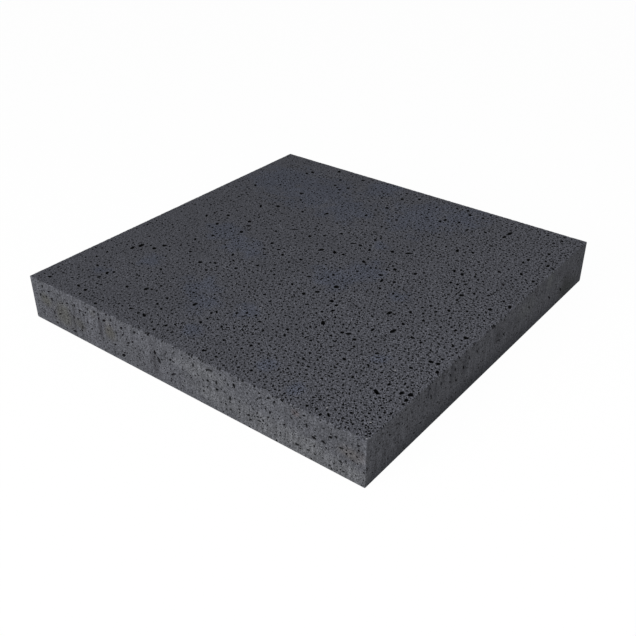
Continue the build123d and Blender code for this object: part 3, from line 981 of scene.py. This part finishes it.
def pitted_concrete():
    """Concrete dyed through with black pigment and cast in a steel mould. The wearing face is open-pored:
    a dull, gritty charcoal ground full of holes, painted near-black inside as painted shade. The cast sides
    keep a paler, smoother cement skin."""
    material = bpy.data.materials.new("cast_pigmented_concrete")
    material.use_nodes = True
    tree = material.node_tree
    shader = tree.nodes["Principled BSDF"]
    spot = add_node(tree, "TexCoord", give="Object")
    hollow = add_node(tree, "Attribute", give="Fac", attribute_name="hollow")
    below, inset, upright, flank = edge_measures(tree, spot)
    cast = cast_share(tree, spot, below, inset)
    along_grain = {"Rotation": (0.0, 0.0, GRAIN_TURN), "Scale": (GRAIN_STRETCH, 1.0, 1.0)}
    grain = add_node(tree, "Mapping", {"Vector": spot, **along_grain}, vector_type="TEXTURE")
    pore_and_shade, highlight_ring, crowd_and_light = fine_pores(tree, spot, grain, cast, flank)

    # Grit of sand, about 2 mm across and finer, softer under the cement skin, pale rims of the pores as
    # painted highlights, and a wearing face lighter where the pores crowd, in patches and, as painted light,
    # towards the right side
    grit = add_node(
        tree, "TexNoise", {"Vector": grain, "Scale": 1 / (1.8 * MM), "Detail": 1.0, "Roughness": 0.6}
    )
    swing = add_node(tree, "MapRange", {"Value": crowd_and_light, **NOISE_SPAN, "To Min": 0.75, "To Max": 0.85})
    smoother = add_node(tree, "MapRange", {"Value": flank, "To Min": 0.6, "To Max": 0.5})
    swing = add_node(tree, "Mix", {"Factor": cast, "A": swing, "B": smoother})
    level = add_node(tree, "MapRange", {"Value": grit, **NOISE_SPAN, "To Min": -1.0})
    gritty = add_node(tree, "Math", [level, swing, 1.0], operation="MULTIPLY_ADD")
    gritty = add_node(tree, "Math", [gritty, 0.45], operation="MAXIMUM")
    # Painted highlight: pale rims round the pores
    brightest_rim_highlight = add_node(tree, "MapRange", {"Value": cast, "To Min": 1.6, "To Max": 1.3})
    painted_rim_highlight = add_node(tree, "MapRange", {"Value": highlight_ring, "To Min": 0.95, "To Max": brightest_rim_highlight})
    # Painted light: the wearing face lighter towards the right side, and in random patches
    painted_light_and_patches = add_node(tree, "MapRange", {"Value": crowd_and_light, **NOISE_SPAN, "To Min": 0.88, "To Max": 1.03})
    shade = add_node(tree, "Mix", {"Factor": cast, "A": painted_light_and_patches, "B": 1.0})
    tone = gritty
    for factor in (shade, painted_rim_highlight):
        tone = add_node(tree, "Math", [tone, factor], operation="MULTIPLY")

    worn = wearing_colour(tree, spot)
    skin = cast_colour(tree, spot, below, upright, flank)
    ground = add_node(tree, "Mix", {"Factor": cast, "A": worn, "B": skin}, **BLENDED)
    ground = add_node(tree, "Mix", {"Factor": 1.0, "A": ground, "B": tone}, **MULTIPLIED)
    # Painted shade: the colour turns near-black inside the pits and the pores, standing in for the shade in
    # their hollows
    inside = add_node(tree, "MapRange", {"Value": hollow, "From Max": 0.8})
    painted_shade_share = add_node(tree, "Math", [pore_and_shade, inside], operation="MAXIMUM")
    colour = add_node(tree, "Mix", {"Factor": painted_shade_share, "A": ground, "B": linear(PAINTED_PIT_SHADE)}, **BLENDED)

    # Relief in metres: grit standing up to 0.25 mm proud, pores sunk by 0.7 mm
    raised = add_node(tree, "Math", [grit, 0.5 * MM], operation="MULTIPLY")
    relief = add_node(tree, "Math", [pore_and_shade, -0.7 * MM, raised], operation="MULTIPLY_ADD")
    bump = add_node(tree, "Bump", {"Strength": 0.8, "Distance": 1.0, "Height": relief})
    rough = add_node(tree, "MapRange", {"Value": grit, **NOISE_SPAN, "To Min": 0.95, "To Max": 0.82})
    for name, socket in (("Base Color", colour), ("Roughness", rough), ("Normal", bump)):
        tree.links.new(socket, shader.inputs[name])
    shader.inputs["Specular IOR Level"].default_value = 0.1
    return material


def seen_share(tree):
    """1 for rays from the camera and for those that gloss or glass sends on, 0 for rays that carry light."""
    path = add_node(tree, "LightPath").node.outputs
    share = path["Is Camera Ray"]
    for kind in ("Is Glossy Ray", "Is Transmission Ray"):
        share = add_node(tree, "Math", [share, path[kind]], operation="MAXIMUM")
    return share


def pale_floor():
    """A matt pale sheet under the slab. What the camera sees of it is mostly plain white, with a little
    of its light and shade, so the slab's shadow stays faint."""
    span = 8.0
    own_white = 0.97
    corners = np.array([[-1, -1, 0], [1, -1, 0], [1, 1, 0], [-1, 1, 0]]) * span
    mesh = bpy.data.meshes.new("pale_floor")
    mesh.from_pydata(corners.tolist(), [], [(0, 1, 2, 3)])
    floor = bpy.data.objects.new("pale_floor", mesh)
    bpy.context.scene.collection.objects.link(floor)
    material = bpy.data.materials.new("matt_pale_sheet")
    material.use_nodes = True
    tree = material.node_tree
    tree.nodes.clear()
    matt = add_node(tree, "BsdfDiffuse", {"Color": linear(SHEET_GREY)})
    shaded = add_node(tree, "BsdfDiffuse", {"Color": linear(WHITE)})
    white = add_node(tree, "Emission", {"Color": linear(WHITE)})
    looks = add_node(tree, "MixShader", [own_white, shaded, white])
    mixed = add_node(tree, "MixShader", [seen_share(tree), matt, looks])
    tree.links.new(mixed, tree.nodes.new("ShaderNodeOutputMaterial").inputs["Surface"])
    mesh.materials.append(material)


def softbox(name, towards, distance, size, power):
    """A round soft lamp that stands in this direction from the slab and faces it."""
    towards = Vector(towards).normalized()
    lamp = bpy.data.lights.new(name, "AREA")
    lamp.shape = "DISK"
    lamp.size = size
    lamp.energy = power
    stand = bpy.data.objects.new(name, lamp)
    stand.location = towards * distance
    stand.rotation_mode = "QUATERNION"
    stand.rotation_quaternion = (-towards).to_track_quat("-Z", "Y")
    bpy.context.scene.collection.objects.link(stand)


def studio_light():
    """A broad lamp low on the front left, which makes the front side the brightest, a smaller one high
    over the front corner, and an even white sky."""
    softbox("front_left_softbox", (-0.18, -0.92, 0.33), distance=3.4, size=2.0, power=93.0)
    softbox("high_softbox", (1.2, -0.6, 1.7), distance=1.9, size=0.8, power=12.0)
    sky_level = 0.4
    world = bpy.data.worlds.new("white_sky")
    world.use_nodes = True
    tree = world.node_tree
    tree.nodes.clear()
    strength = add_node(tree, "MapRange", {"Value": seen_share(tree), "To Min": sky_level, "To Max": 1.0})
    sky = add_node(tree, "Background", {"Color": linear(WHITE), "Strength": strength})
    tree.links.new(sky, tree.nodes.new("ShaderNodeOutputWorld").inputs["Surface"])
    bpy.context.scene.world = world


def camera():
    """The photograph's camera: square picture, level horizon, lens from the focal length in pixels."""
    data = bpy.data.cameras.new("camera")
    data.sensor_width = SENSOR_WIDTH
    data.lens = FOCAL_PIXELS / PICTURE_PIXELS * SENSOR_WIDTH
    stand = bpy.data.objects.new("camera", data)
    stand.location = EYE
    stand.rotation_mode = "QUATERNION"
    stand.rotation_quaternion = Vector(GAZE).to_track_quat("-Z", "Y")
    bpy.context.scene.collection.objects.link(stand)
    bpy.context.scene.camera = stand


slab = cast_slab()
slab.data.materials.append(pitted_concrete())
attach(slab, "root")
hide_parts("slab")
pale_floor()
studio_light()
camera()
bpy.context.scene.view_settings.view_transform = "Standard"
